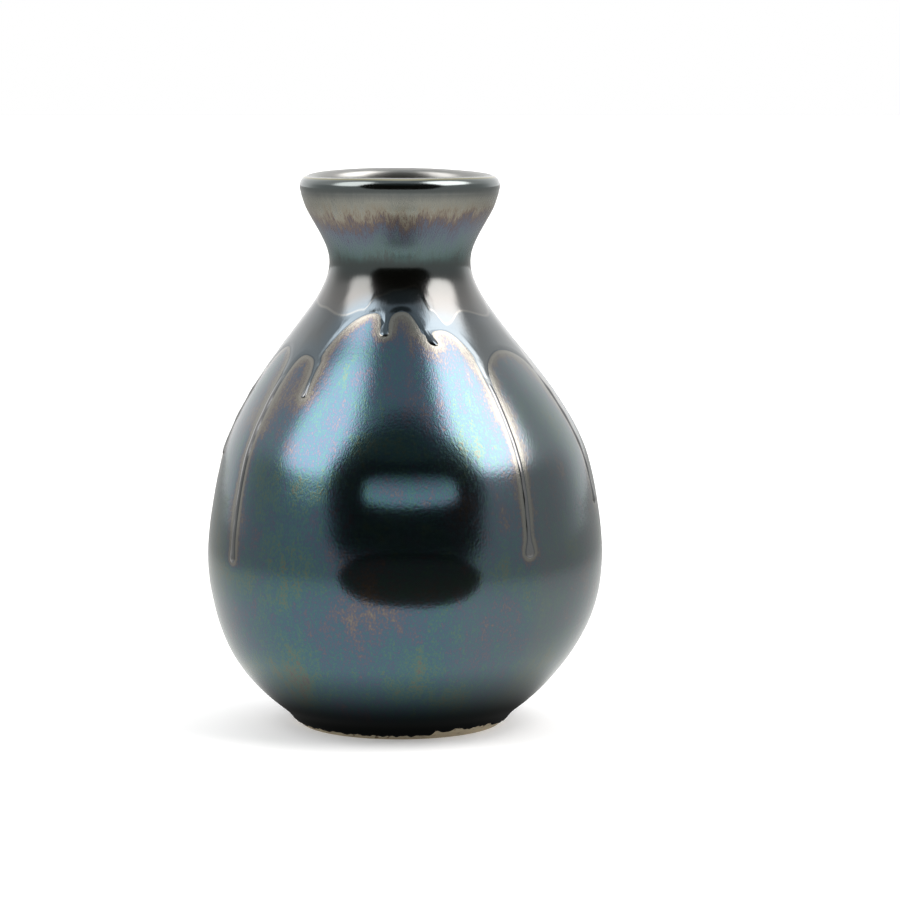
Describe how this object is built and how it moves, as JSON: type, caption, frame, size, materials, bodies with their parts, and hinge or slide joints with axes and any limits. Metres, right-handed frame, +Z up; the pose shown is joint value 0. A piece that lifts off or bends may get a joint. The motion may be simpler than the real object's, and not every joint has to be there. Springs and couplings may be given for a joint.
{
  "type": "sake bottle",
  "caption": "Egg-shaped stoneware sake bottle with a narrow waisted neck, flared rolled lip, turned foot and layered iridescent glaze with runs.",
  "frame": {"origin": "centre of the foot ring on the table plane", "axes": "+Z up along the bottle's axis, -Y towards the front (the side with the big arch and the two long runs), +X to the right of the front"},
  "size_m": [0.1012, 0.1012, 0.14],
  "materials": {
    "clay": "bare buff stoneware, dry and slightly rough",
    "liner": "glossy black liner glaze",
    "base_glaze": "satin metallic iridescent glaze, grey-teal with blue, violet and gold mottling",
    "second_glaze": "smooth gunmetal glaze over the neck and shoulder, brown and blue bands at the collar",
    "run_glaze": "glossy dark blue glaze run with a pale halo"
  },
  "bodies": {
    "root": {"clay_body": "clay", "liner_glaze": "liner", "base_glaze": "base_glaze", "shoulder_glaze": "second_glaze", "run_front_left": "run_glaze", "stub_front_left": "run_glaze", "stub_centre": "run_glaze", "stub_slanted": "run_glaze", "run_front_right": "run_glaze", "run_right_side": "run_glaze", "stub_back_right": "run_glaze", "run_back_right": "run_glaze", "stub_back": "run_glaze", "run_back_left": "run_glaze", "stub_back_left": "run_glaze", "run_left_side": "run_glaze"}
  },
  "joints": []
}
